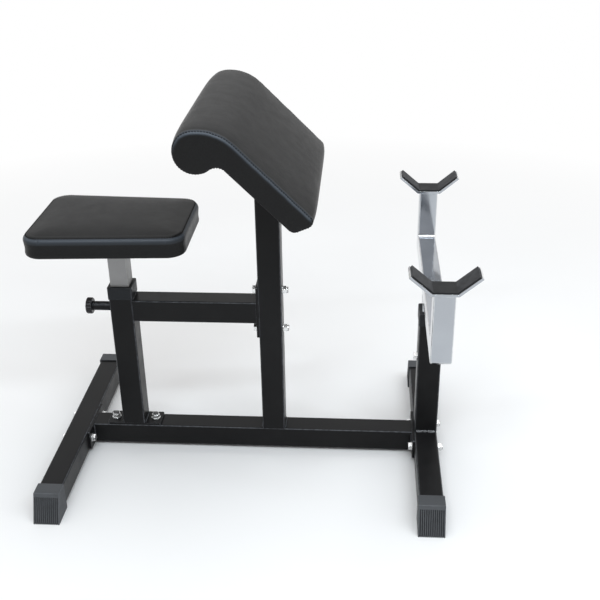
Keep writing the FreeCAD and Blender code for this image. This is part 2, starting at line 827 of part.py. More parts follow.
cut_box(
    yoke,
    ("-yoke_bore / 2", "-yoke_span / 2 - yoke_bore / 2 + yoke_bend_fill", "slide_wall"),
    "yoke_bore", "yoke_span + yoke_bore - 2 * yoke_bend_fill", "yoke_bore",
)
place(yoke, ("front_base_x", "0", "yoke_cross_bottom"))


def vee(label, side, under, over, margin):
    """A bent V-shaped plate between two offsets from the underside of a cradle."""
    body = new_body(label)
    sketch = new_sketch(body, "XZ_Plane")

    def bend(offset):
        return "(cradle_flat / 2 - (%s) * tan(cradle_lean / 2))" % offset

    def tip_x(offset):
        return "(cradle_span / 2 - (%s) * sin(cradle_lean) - (%s) * cos(cradle_lean))" % (offset, margin)

    def tip_z(offset):
        return "cradle_rise + (%s) * cos(cradle_lean) - (%s) * sin(cradle_lean)" % (offset, margin)

    draw_polygon(sketch, [
        ("-" + bend(under), under),
        (bend(under), under),
        (tip_x(under), tip_z(under)),
        (tip_x(over), tip_z(over)),
        (bend(over), over),
        ("-" + bend(over), over),
        ("-" + tip_x(over), tip_z(over)),
        ("-" + tip_x(under), tip_z(under)),
    ])
    pad(body, sketch, "cradle_depth", midplane=True)
    place(body, ("front_base_x", side + "yoke_span / 2", "yoke_top"))


lining = "cradle_thickness + liner_thickness"
for hand, side in (("left", ""), ("right", "-")):
    vee(hand + "_cradle", side, "0", "cradle_thickness", "0")
    vee(hand + "_liner", side, "cradle_thickness", lining, "liner_margin")


# Fasteners: one shape of each kind, set wherever it is used

def solid(kind, name, **formulas):
    """A primitive whose sizes follow formulas."""
    item = doc.addObject("Part::" + kind, name)
    for prop, formula in formulas.items():
        bind(item, prop, formula)
    return item


def joined(name, shapes):
    """Several primitives as one shape."""
    item = doc.addObject("Part::MultiFuse", name)
    item.Shapes = shapes
    return item


def less(name, base, tool):
    """One shape cut out of another."""
    item = doc.addObject("Part::Cut", name)
    item.Base = base
    item.Tool = tool
    return item


def group(label, shape, spots):
    """The same fastener at several places, as one piece of separate solids."""
    links = []
    for spot, turn in spots:
        link = doc.addObject("App::Link", label + "_item")
        link.LinkedObject = shape
        link.LinkPlacement = Placement(Vector(), turn)
        for axis, formula in zip("xyz", spot):
            if formula != "0":
                bind(link, "LinkPlacement.Base." + axis, formula)
        if turn is SLOPE:
            bind(link, "LinkPlacement.Rotation.Angle", "arm_tilt")
        links.append(link)
    compound = doc.addObject("Part::Compound", label)
    compound.Links = links
    pieces.append(compound)


hex_head = solid("Prism", "hex_head", Circumradius="head_across / sqrt(3)", Height="head_height")
hex_head.Polygon = 6
place(hex_head, ("0", "0", "-head_height"))
hex_shank = solid("Cylinder", "hex_shank", Radius="bolt_radius", Height="bolt_length")
hex_bolt = joined("hex_bolt", [hex_head, hex_shank])

dome = solid("Cone", "dome", Radius1="dome_edge_radius", Radius2="dome_radius", Height="dome_height")
place(dome, ("0", "0", "-dome_height"))
dome_length = "tube_side + plate_thickness + bolt_tail"
dome_shank = solid("Cylinder", "dome_shank", Radius="bolt_radius", Height=dome_length)
dome_bolt = joined("dome_bolt", [dome, dome_shank])

washer_disc = solid("Cylinder", "washer_disc", Radius="washer_radius", Height="washer_thickness")
washer_hole = solid("Cylinder", "washer_hole", Radius="bolt_hole", Height="washer_thickness")
washer = less("washer", washer_disc, washer_hole)

nut_hex = solid("Prism", "nut_hex", Circumradius="head_across / sqrt(3)", Height="nut_height")
nut_hex.Polygon = 6
nut_length = "nut_height + nut_collar_height"
nut_ring = solid("Cylinder", "nut_ring", Radius="nut_collar_radius", Height=nut_length)
nut_blank = joined("nut_blank", [nut_hex, nut_ring])
nut_hole = solid("Cylinder", "nut_hole", Radius="bolt_radius + thread_play", Height=nut_length)
nut = less("nut", nut_blank, nut_hole)

screw_head = solid("Cylinder", "screw_head", Radius="screw_head_radius", Height="screw_head_height")
place(screw_head, ("0", "0", "-screw_head_height"))
screw_length = "seat_plate_thickness + screw_depth"
screw_shank = solid("Cylinder", "screw_shank", Radius="screw_radius", Height=screw_length)
screw = joined("screw", [screw_head, screw_shank])

# each bolt of the frame: where its head bears, how much it clamps, which way it points, and its Y and Z
clamped = "(plate_thickness + tube_side)"
frame_joints = []
for step in pair:
    frame_joints.append(("beam_start", clamped, "-", step, "base_mid"))
    frame_joints.append(("beam_end", clamped, "", step, "base_mid"))
    frame_joints.append(("crossbar_end", clamped, "", "0", "crossbar_z " + step))
frame_joints.append(("front_base_x - tube_side / 2", "tube_side", "", "0", "stem_bolt_z"))

bolt_spots = []
washer_spots = []
nut_spots = []
for bearing, clamp, sign, y, z in frame_joints:
    way = UP_TO_MINUS_X if sign else UP_TO_X
    forward = sign + "1"
    far_side = "%s + %s * %s" % (bearing, forward, clamp)
    bolt_spots.append((("%s - %s * washer_thickness" % (bearing, forward), y, z), way))
    washer_spots.append((("%s - %s * washer_thickness" % (bearing, forward), y, z), way))
    washer_spots.append(((far_side, y, z), way))
    nut_spots.append((("%s + %s * washer_thickness" % (far_side, forward), y, z), way))

foot_bolt_spots = []
for step in pair:
    x = "seat_post_x " + step
    foot_bolt_spots.append(((x, "0", "beam_bottom"), LEVEL))
    washer_spots.append(((x, "0", "seat_post_foot"), LEVEL))
    nut_spots.append(((x, "0", "seat_post_foot + washer_thickness"), LEVEL))

group("frame_bolts", hex_bolt, bolt_spots)
group("foot_bolts", dome_bolt, foot_bolt_spots)
group("frame_washers", washer, washer_spots)
group("lock_nuts", nut, nut_spots)

seat_screw_places = [("seat_post_x + " + x, y, "seat_tube_top") for x, y in seat_screw_spots]
group("seat_screws", screw, [(spot, LEVEL) for spot in seat_screw_places])
arm_spots = []
for x, y in arm_screw_spots:
    spot_x, _, spot_z = slope_spot("bracket_middle + " + x, "-arm_thickness - bracket_thickness")
    arm_spots.append(((spot_x, y, spot_z), SLOPE))
group("arm_screws", screw, arm_spots)


# Check every object and write the pieces

doc.recompute()
for item in doc.Objects:
    if "Invalid" in item.State or "Error" in item.State:
        raise RuntimeError("%s did not compute" % item.Label)
os.makedirs("parts", exist_ok=True)
for piece in pieces:
    if piece.Shape.isNull() or not piece.Shape.isValid():
        raise RuntimeError("%s has no valid shape" % piece.Label)
    piece.Shape.exportStep("parts/%s.step" % piece.Label)
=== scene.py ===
import json
import math

import bmesh
import bpy
from mathutils import Matrix, Vector, geometry, kdtree, noise


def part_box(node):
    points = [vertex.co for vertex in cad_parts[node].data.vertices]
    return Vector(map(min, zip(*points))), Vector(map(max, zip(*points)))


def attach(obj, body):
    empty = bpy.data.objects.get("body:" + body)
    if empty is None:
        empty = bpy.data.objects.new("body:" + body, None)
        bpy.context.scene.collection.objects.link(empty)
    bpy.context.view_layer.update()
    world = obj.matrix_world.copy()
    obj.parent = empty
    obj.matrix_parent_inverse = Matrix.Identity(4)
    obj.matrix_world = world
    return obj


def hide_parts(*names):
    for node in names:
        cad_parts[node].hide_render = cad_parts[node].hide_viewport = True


# Looks of a preacher curl bench: finishes of the frame, upholstered pads with seams, welds and stitches.
# Metres. +X runs from the seat to the bar rest, +Z is up.

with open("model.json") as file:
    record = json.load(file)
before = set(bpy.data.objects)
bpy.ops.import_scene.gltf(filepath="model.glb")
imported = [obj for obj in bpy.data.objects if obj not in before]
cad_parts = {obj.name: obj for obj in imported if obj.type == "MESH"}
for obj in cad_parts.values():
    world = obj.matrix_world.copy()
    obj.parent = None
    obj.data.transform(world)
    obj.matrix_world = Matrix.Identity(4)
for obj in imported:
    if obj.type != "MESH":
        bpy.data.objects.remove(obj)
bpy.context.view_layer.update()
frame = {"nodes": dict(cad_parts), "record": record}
nodes = frame["nodes"]
scene = bpy.context.scene
MM = 0.001


# Shader helpers

def new_material(name):
    """A material with its node tree and its main shader."""
    material = bpy.data.materials.new(name)
    material.use_nodes = True
    return material, material.node_tree, material.node_tree.nodes["Principled BSDF"]


def add_node(tree, kind, settings=None, **properties):
    """A shader node with some of its inputs and properties set."""
    item = tree.nodes.new(kind)
    for key, value in properties.items():
        setattr(item, key, value)
    for key, value in (settings or {}).items():
        item.inputs[key].default_value = value
    return item


def place_in_metres(tree, stretch=(1, 1, 1)):
    """The place on the piece, in metres, stretched where a finish has a direction."""
    where = add_node(tree, "ShaderNodeTexCoord")
    mapping = add_node(tree, "ShaderNodeMapping", {"Scale": stretch})
    tree.links.new(where.outputs["Object"], mapping.inputs["Vector"])
    return mapping.outputs["Vector"]


def noise_at(tree, where, scale, detail=3.0, roughness=0.55):
    """Noise with a given number of features per metre."""
    settings = {"Scale": scale, "Detail": detail, "Roughness": roughness}
    texture = add_node(tree, "ShaderNodeTexNoise", settings)
    tree.links.new(where, texture.inputs["Vector"])
    return texture.outputs["Fac"]


def spread(tree, value, low, high, start=0.35, end=0.65):
    """Stretch a noise value over a range."""
    limits = {"From Min": start, "From Max": end, "To Min": low, "To Max": high}
    item = add_node(tree, "ShaderNodeMapRange", limits)
    tree.links.new(value, item.inputs["Value"])
    return item.outputs["Result"]


def combine(tree, operation, first, second):
    """A value worked out from two others."""
    item = add_node(tree, "ShaderNodeMath", operation=operation)
    tree.links.new(first, item.inputs[0])
    tree.links.new(second, item.inputs[1])
    return item.outputs["Value"]


def mix_colors(tree, share, first, second):
    """A colour between two colours or colour sockets."""
    item = add_node(tree, "ShaderNodeMix", data_type="RGBA")
    tree.links.new(share, item.inputs["Factor"])
    for socket, value in ((item.inputs[6], first), (item.inputs[7], second)):
        if isinstance(value, bpy.types.NodeSocket):
            tree.links.new(value, socket)
        else:
            socket.default_value = (*value, 1)
    return item.outputs[2]


def bump(tree, shader, height, strength, distance, normal=None):
    """Roughen a shader's surface by a height."""
    item = add_node(tree, "ShaderNodeBump", {"Strength": strength, "Distance": distance})
    tree.links.new(height, item.inputs["Height"])
    if normal is not None:
        tree.links.new(normal, item.inputs["Normal"])
    tree.links.new(item.outputs["Normal"], shader.inputs["Normal"])


def edge_wear_and_painted_highlight(tree, radius):
    """How near a point is to a sharp edge or a tube's corner, for a lighter colour there that is partly
    wear and partly a painted highlight, and the normal that rounds that edge.
    """
    rounded = add_node(tree, "ShaderNodeBevel", {"Radius": radius}, samples=6)
    plain = add_node(tree, "ShaderNodeNewGeometry")
    dot = add_node(tree, "ShaderNodeVectorMath", operation="DOT_PRODUCT")
    tree.links.new(rounded.outputs["Normal"], dot.inputs[0])
    tree.links.new(plain.outputs["Normal"], dot.inputs[1])
    sharp = spread(tree, dot.outputs["Value"], 1, 0, 0.8, 0.99)
    size = add_node(tree, "ShaderNodeVectorMath", operation="ABSOLUTE")
    tree.links.new(plain.outputs["Normal"], size.inputs[0])
    parts = add_node(tree, "ShaderNodeSeparateXYZ")
    tree.links.new(size.outputs["Vector"], parts.inputs["Vector"])
    most = parts.outputs["X"]
    for axis in "YZ":
        most = combine(tree, "MAXIMUM", most, parts.outputs[axis])
    corner = spread(tree, most, 1, 0, 0.75, 0.97)
    return combine(tree, "MAXIMUM", sharp, corner), rounded.outputs["Normal"]


def groove_shade(tree, color, reach):
    """Painted shade: darken a colour in narrow grooves, where little light reaches."""
    open_sky = add_node(tree, "ShaderNodeAmbientOcclusion", {"Distance": reach}, samples=8)
    dark = add_node(tree, "ShaderNodeMix", {"Factor": 1.0}, data_type="RGBA", blend_type="MULTIPLY")
    tree.links.new(color, dark.inputs[6])
    dark.inputs[7].default_value = (0.12, 0.12, 0.12, 1)
    return mix_colors(tree, spread(tree, open_sky.outputs["AO"], 1, 0, 0.35, 0.85), color, dark.outputs[2])


def finish(name, dark, light, rough, grain, depth, metallic=0.0, specular=0.5, clouds=9.0, edge=None,
           groove=None):
    """A finish with cloudy colour, uneven gloss and a fine grain; edge is a radius and a lighter colour for
    edges, partly wear and partly a painted highlight; groove is a reach for painted shade in grooves.
    """
    material, tree, shader = new_material(name)
    where = place_in_metres(tree)
    shader.inputs["Metallic"].default_value = metallic
    shader.inputs["Specular IOR Level"].default_value = specular
    color = mix_colors(tree, spread(tree, noise_at(tree, where, clouds), 0, 1), dark, light)
    normal = None
    if edge:
        lightened, normal = edge_wear_and_painted_highlight(tree, edge[0])
        patches = spread(tree, noise_at(tree, where, 90), 0.35, 1)
        # Lighter colour at edges and tube corners, in patches: partly wear, partly a painted highlight
        color = mix_colors(tree, combine(tree, "MULTIPLY", lightened, patches), color, edge[1])
    if groove:
        color = groove_shade(tree, color, groove)
    tree.links.new(color, shader.inputs["Base Color"])
    tree.links.new(spread(tree, noise_at(tree, where, clouds * 4), *rough), shader.inputs["Roughness"])
    bump(tree, shader, noise_at(tree, where, grain, 2), 0.5, depth, normal)
    return material


# Finishes

# Lighter bluish vinyl colour for the painted highlight along the pads' seams and rims
PAINTED_HIGHLIGHT_VINYL = (0.095, 0.112, 0.135)


def vinyl_finish():
    """Dark upholstery vinyl with a pebbled grain, a soft sheen and a painted highlight, a lighter bluish
    colour along the pads' seams and rims.
    """
    material, tree, shader = new_material("vinyl")
    where = place_in_metres(tree)
    shader.inputs["Specular IOR Level"].default_value = 0.06
    shader.inputs["Coat Weight"].default_value = 0.15
    shader.inputs["Coat Roughness"].default_value = 0.2
    cloud = spread(tree, noise_at(tree, where, 14, 4), 0, 1)
    color = mix_colors(tree, cloud, (0.0109, 0.0111, 0.0112), (0.0121, 0.0123, 0.0124))
    cells = add_node(tree, "ShaderNodeTexVoronoi", {"Scale": 560, "Smoothness": 0.6}, feature="SMOOTH_F1")
    wobble = add_node(tree, "ShaderNodeVectorMath", operation="ADD")
    shift = add_node(tree, "ShaderNodeTexNoise", {"Scale": 240, "Detail": 1})
    scale = add_node(tree, "ShaderNodeVectorMath", {"Scale": 0.003}, operation="SCALE")
    tree.links.new(where, shift.inputs["Vector"])
    tree.links.new(shift.outputs["Color"], scale.inputs[0])
    tree.links.new(where, wobble.inputs[0])
    tree.links.new(scale.outputs["Vector"], wobble.inputs[1])
    tree.links.new(wobble.outputs["Vector"], cells.inputs["Vector"])
    crease = spread(tree, cells.outputs["Distance"], 0, 1, 0.25, 0.7)
    darkened = mix_colors(tree, crease, color, (0.009, 0.009, 0.0095))
    # Painted highlight: the colour moves towards the lighter vinyl by a per-point share stored on the mesh
    painted_highlight_attribute = add_node(tree, "ShaderNodeAttribute", attribute_name="painted_highlight")
    lightened = mix_colors(tree, painted_highlight_attribute.outputs["Fac"], darkened, PAINTED_HIGHLIGHT_VINYL)
    tree.links.new(lightened, shader.inputs["Base Color"])
    tree.links.new(spread(tree, noise_at(tree, where, 36, 4), 0.37, 0.43), shader.inputs["Roughness"])
    lowered = add_node(tree, "ShaderNodeMath", operation="SUBTRACT")
    lowered.inputs[0].default_value = 1
    tree.links.new(cells.outputs["Distance"], lowered.inputs[1])
    bump(tree, shader, lowered.outputs["Value"], 0.35, 0.0006)
    return material


def thread_finish():
    """Black twisted sewing thread."""
    material, tree, shader = new_material("thread")
    where = place_in_metres(tree)
    settings = {"Scale": 420, "Distortion": 1.5}
    twist = add_node(tree, "ShaderNodeTexWave", settings, bands_direction="DIAGONAL")
    tree.links.new(where, twist.inputs["Vector"])
    color = mix_colors(tree, twist.outputs["Fac"], (0.002, 0.002, 0.002), (0.006, 0.006, 0.006))
    tree.links.new(color, shader.inputs["Base Color"])
    shader.inputs["Roughness"].default_value = 0.8
    shader.inputs["Specular IOR Level"].default_value = 0.1
    bump(tree, shader, twist.outputs["Fac"], 0.4, 0.0002)
    return material


def plywood_finish():
    """Raw plywood with drawn-out grain and edge plies."""
    material, tree, shader = new_material("plywood")
    where = place_in_metres(tree, (60, 6, 60))
    grain = noise_at(tree, where, 1.0, 8, 0.65)
    fine = noise_at(tree, place_in_metres(tree, (900, 60, 900)), 1.0, 2)
    color = mix_colors(tree, spread(tree, grain, 0, 1, 0.3, 0.7), (0.32, 0.20, 0.10), (0.55, 0.40, 0.24))
    streaked = mix_colors(tree, spread(tree, fine, 0, 0.35), color, (0.20, 0.12, 0.06))
    tree.links.new(streaked, shader.inputs["Base Color"])
    tree.links.new(spread(tree, grain, 0.62, 0.8), shader.inputs["Roughness"])
    bump(tree, shader, fine, 0.3, 0.0003)
    return material


# Each edge colour below is partly wear and partly a painted highlight along edges and tube corners
coat = finish(
    "powder_coat", (0.0085, 0.0085, 0.009), (0.0115, 0.0115, 0.012), (0.28, 0.36), 1500, 0.00006,
    specular=0.11, edge=(0.0014, (0.10, 0.105, 0.115)),
)
# Black weld coat with mottled light grey patches, painted highlights that stand in for glints on the beads
weld_coat_painted_highlights = finish(
    "weld_coat_painted_highlights", (0.02, 0.021, 0.022), (0.24, 0.25, 0.265), (0.16, 0.3), 900, 0.0005, clouds=150,
)
# Painted shade in the grooves between the foot's ribs
foot_plastic = finish(
    "foot_plastic", (0.058, 0.062, 0.067), (0.078, 0.082, 0.088), (0.46, 0.6), 1900, 0.00015,
    specular=0.2, edge=(0.001, (0.13, 0.135, 0.145)), groove=0.004,
)
collar_plastic = finish(
    "collar_plastic", (0.013, 0.0145, 0.017), (0.019, 0.021, 0.024), (0.36, 0.48), 1700, 0.0001,
    specular=0.15, edge=(0.001, (0.08, 0.083, 0.09)),
)
# Painted shade in the knob's grooves
knob_plastic = finish(
    "knob_plastic", (0.006, 0.006, 0.0065), (0.010, 0.010, 0.011), (0.24, 0.36), 1500, 0.0001,
    specular=0.3, edge=(0.0008, (0.08, 0.083, 0.09)), groove=0.004,
)
zinc = finish(
    "zinc", (0.68, 0.69, 0.70), (0.84, 0.84, 0.83), (0.2, 0.32), 2600, 0.00008,
    metallic=0.85, clouds=80, edge=(0.0005, (0.9, 0.9, 0.9)),
)
dull_zinc = finish(
    "dull_zinc", (0.07, 0.07, 0.072), (0.12, 0.12, 0.12), (0.4, 0.55), 2600, 0.0001,
    metallic=1.0, clouds=80,
)
satin_steel = finish(
    "satin_steel", (0.27, 0.27, 0.272), (0.31, 0.31, 0.312), (0.42, 0.54), 1600, 0.00008,
    metallic=0.35, clouds=20, edge=(0.001, (0.45, 0.45, 0.45)),
)
chrome = finish(
    "chrome", (0.40, 0.42, 0.45), (0.44, 0.46, 0.49), (0.06, 0.10), 400, 0.00003,
    metallic=1.0, clouds=12, edge=(0.0008, (0.9, 0.9, 0.9)),
)
liner_rubber = finish(
    "liner_rubber", (0.010, 0.0105, 0.0115), (0.017, 0.0175, 0.019), (0.5, 0.62), 1200, 0.0002,
    specular=0.2, edge=(0.001, (0.045, 0.046, 0.05)),
)
vinyl = vinyl_finish()
thread = thread_finish()
plywood = plywood_finish()

FINISH_OF_SLOT = {
    "frame_black": coat,
    "foot_plastic": foot_plastic,
    "collar_plastic": collar_plastic,
    "zinc": zinc,
    "seat_tube_steel": satin_steel,
    "knob_plastic": knob_plastic,
    "vinyl": vinyl,
    "board_wood": plywood,
    "chrome": chrome,
    "liner_rubber": liner_rubber,
}
for part in frame["record"]["subparts"]:
    piece = nodes[part["node"]]
    piece.data.materials.clear()
    piece.data.materials.append(FINISH_OF_SLOT[part["material_slot"]])
nodes["foot_bolts"].data.materials[0] = dull_zinc


# Mesh helpers

def new_piece(name, vertices, faces, material, body, painted_highlight=None):
    """A smooth mesh piece that rides on a body, with an optional per-point share of painted highlight
    stored on the mesh.
    """
    mesh = bpy.data.meshes.new(name)
    mesh.from_pydata(vertices, [], faces)
    if painted_highlight:
        mesh.attributes.new("painted_highlight", "FLOAT", "POINT").data.foreach_set("value", painted_highlight)
    work = bmesh.new()
    work.from_mesh(mesh)
    bmesh.ops.remove_doubles(work, verts=work.verts, dist=1e-6)
    bmesh.ops.recalc_face_normals(work, faces=work.faces)
    work.to_mesh(mesh)
    work.free()
    mesh.shade_smooth()
    mesh.materials.append(material)
    piece = bpy.data.objects.new(name, mesh)
    scene.collection.objects.link(piece)
    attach(piece, body)
    return piece


def tube_rings(path, radii, sides=8, closed=False):
    """Vertices and faces of a tube along a path, with a radius at each point."""
    count = len(path)
    vertices = []
    faces = []
    for index, point in enumerate(path):
        before = path[index - 1] if closed or index else point
        after = path[(index + 1) % count] if closed or index < count - 1 else point
        ahead = (after - before).normalized()
        across = ahead.orthogonal() if index == 0 else (across - ahead * across.dot(ahead))
        across = across.normalized()
        upward = ahead.cross(across)
        for side in range(sides):
            angle = 2 * math.pi * side / sides
            vertices.append(point + (across * math.cos(angle) + upward * math.sin(angle)) * radii[index])
    rings = count if closed else count - 1
    for ring in range(rings):
        for side in range(sides):
            here = ring * sides
            there = (ring + 1) % count * sides
            onward = (side + 1) % sides
            faces.append((here + side, here + onward, there + onward, there + side))
    if not closed:
        faces.append(tuple(reversed(range(sides))))
        faces.append(tuple(range((count - 1) * sides, count * sides)))
    return vertices, faces


def add_faces(faces, more, offset):
    """Add faces whose corners are counted from an offset."""
    faces += [tuple(offset + corner for corner in face) for face in more]


def add_tube(vertices, faces, path, radii, sides=8, closed=False):
    """Add a tube to the points and faces of a piece that is made of several."""
    tube_vertices, tube_faces = tube_rings(path, radii, sides, closed)
    add_faces(faces, tube_faces, len(vertices))
    vertices += tube_vertices


def strip_faces(rings, count):
    """Faces between neighbouring rings of points, each ring closed on itself."""
    faces = []
    for here in range(0, (rings - 1) * count, count):
        for index in range(count):
            onward = (index + 1) % count
            faces.append((here + index, here + onward, here + count + onward, here + count + index))
    return faces


def along(start, end, step):
    """Evenly spaced points from one point to another."""
    count = max(2, round((end - start).length / step) + 1)
    return [start.lerp(end, index / (count - 1)) for index in range(count)]


def simulate_filling(vertices, faces, held, pressure=4.0):
    """Let a closed cover swell under its filling, and return how far each point moves."""
    mesh = bpy.data.meshes.new("filling")
    mesh.from_pydata(vertices, [], faces)
    cover = bpy.data.objects.new("filling", mesh)
    scene.collection.objects.link(cover)
    group = cover.vertex_groups.new(name="held")
    for index, weight in enumerate(held):
        group.add([index], weight, "REPLACE")
    cloth = cover.modifiers.new("cloth", "CLOTH")
    cloth.settings.quality = 5
    cloth.settings.mass = 0.3
    cloth.settings.tension_stiffness = 30
    cloth.settings.compression_stiffness = 30
    cloth.settings.shear_stiffness = 10
    cloth.settings.bending_stiffness = 2
    cloth.settings.use_pressure = True
    cloth.settings.uniform_pressure_force = pressure
    cloth.settings.vertex_group_mass = "held"
    cloth.settings.effector_weights.gravity = 0
    cloth.collision_settings.use_collision = False
    for step in range(1, 21):
        scene.frame_set(step)
    swollen = cover.evaluated_get(bpy.context.evaluated_depsgraph_get()).to_mesh()
    moves = [swollen.vertices[index].co - Vector(point) for index, point in enumerate(vertices)]
    bpy.data.objects.remove(cover)
    bpy.data.meshes.remove(mesh)
    scene.frame_set(1)
    return moves


def stitch_row(name, points, normals, body, length=2.9 * MM, pitch=5.2 * MM, radius=0.95 * MM):
    """A row of short threads that lie along a seam."""
    vertices = []
    faces = []
    travelled = 0.0
    due = 0.0
    for index in range(len(points) - 1):
        start, end = points[index], points[index + 1]
        run = (end - start).length
        while run > 0 and due <= travelled + run:
            share = (due - travelled) / run
            middle = start.lerp(end, share)
            lift = normals[index].lerp(normals[index + 1], share).normalized()
            ahead = (end - start).normalized()
            path = []
            radii = []
            for step in range(7):
                place = step / 3 - 1
                sink = 0.7 * radius - 1.8 * radius * place ** 4
                path.append(middle + ahead * (place * length / 2) + lift * sink)
                radii.append(radius * (1 - 0.55 * place ** 4))
            add_tube(vertices, faces, path, radii, 6)
            due += pitch
        travelled += run
    return new_piece(name, vertices, faces, thread, body)


# Filled outlines

def bell(value, middle, width):
    """One at the middle of a range, falling to zero away from it."""
    return math.exp(-((value - middle) / width) ** 2)


def inside_outline(outline, spot):
    """Whether a point lies inside a closed outline."""
    within = False
    for index, point in enumerate(outline):
        before = outline[index - 1]
        if (point.y > spot.y) != (before.y > spot.y):
            crossing = before.x + (spot.y - before.y) * (point.x - before.x) / (point.y - before.y)
            if spot.x < crossing:
                within = not within
    return within


def fill_outline(outline, depths, spacing):
    """Points that fill a closed outline, with their distance from it and nearest corner, and triangles."""
    count = len(outline)
    share = 8
    area = sum(outline[index - 1].cross(outline[index]) for index in range(count))
    turn = 1 if area > 0 else -1
    tree = kdtree.KDTree(count * share)
    for index, point in enumerate(outline):
        onward = outline[(index + 1) % count]
        for step in range(share):
            tree.insert(point.lerp(onward, step / share).to_3d(), index * share + step)
    tree.balance()
    points = list(outline)
    for depth in depths:
        last = None
        for index in range(count):
            ahead = (outline[(index + 1) % count] - outline[index - 1]).normalized()
            spot = outline[index] + Vector((-ahead.y, ahead.x)) * (turn * depth)
            clear = tree.find(spot.to_3d())[2] > 0.97 * depth
            if clear and (last is None or (spot - last).length > 0.3 * spacing):
                points.append(spot)
                last = spot
    low = Vector((min(point.x for point in outline), min(point.y for point in outline)))
    high = Vector((max(point.x for point in outline), max(point.y for point in outline)))
    rise = spacing * 0.87
    for row in range(int((high.y - low.y) / rise) + 1):
        for step in range(int((high.x - low.x) / spacing) + 1):
            spot = low + Vector((spacing * (step + row % 2 / 2), rise * row))
            far = tree.find(spot.to_3d())[2] > depths[-1] + 0.6 * spacing
            if far and inside_outline(outline, spot):
                points.append(spot)
    order = list(range(count))[::turn]
    spots, _, triangles, _, _, _ = geometry.delaunay_2d_cdt(points, [], [order], 1, 1e-7)
    filled = []
    for spot in spots:
        _, nearest, depth = tree.find(spot.to_3d())
        filled.append((spot, depth, nearest // share))
    return filled, triangles


def staples(name, places, body):
    """Wire staples in the cover's folded edge, each with a middle, a direction and an outward way."""
    vertices = []
    faces = []
    for middle, ahead, outward in places:
        reach = ahead * 5 * MM
        ends = [(-1, -0.6), (-0.97, 0.2), (-0.9, 0.45), (0.9, 0.45), (0.97, 0.2), (1, -0.6)]
        path = [middle + reach * share + outward * (lift * MM) for share, lift in ends]
        add_tube(vertices, faces, path, [0.45 * MM] * len(path), 6)
    return new_piece(name, vertices, faces, zinc, body)


# Arm pad, measured along (u) and square to (v) its sloping face

ARM_ORIGIN = Vector((0.038, 0, 0.748))
ARM_TILT = math.radians(45)
ARM_U = Vector((math.cos(ARM_TILT), 0, -math.sin(ARM_TILT)))
ARM_V = Vector((math.sin(ARM_TILT), 0, math.cos(ARM_TILT)))
ARM_HALF = 0.229
ARM_SEAM = 0.2245
ARM_DEPTH = 0.042
ARM_CROWN = 0.007
ARM_SWELL = 0.003
ARM_END = 0.156
ARM_END_SLANT = 0.019
ARM_END_ROUNDING = 0.012
ROLL_CENTRE = Vector((-0.088, -0.0566))
ROLL_RADIUS = 0.036
ROLL_CROWN = 0.009
BLEND_RADIUS = 0.090
HOOK_RADIUS = 0.024
PANEL_START = 0.0015
PANEL_ROUNDING = 0.005
FOLD_DROP = 0.0006
BOARD_SHOWS_U = (0.010, 0.098)
BOARD_SHOWS_HALF = 0.182
BRACKET_CLEAR = 0.068
STAPLE_INSET = 0.007
STAPLE_PITCH = 0.022
SEWN_FREEDOM = 0.3
SEAM_LIP = 0.0007
SEAM_GROOVE = 0.0008
PANEL_SWELL = 0.0015
PANEL_SPACING = 0.006


def on_underside(place, way):
    """Whether a point of the section lies on the pad's flat underside."""
    return way.y < -0.999 and abs(place.y + ARM_DEPTH) < 1e-6


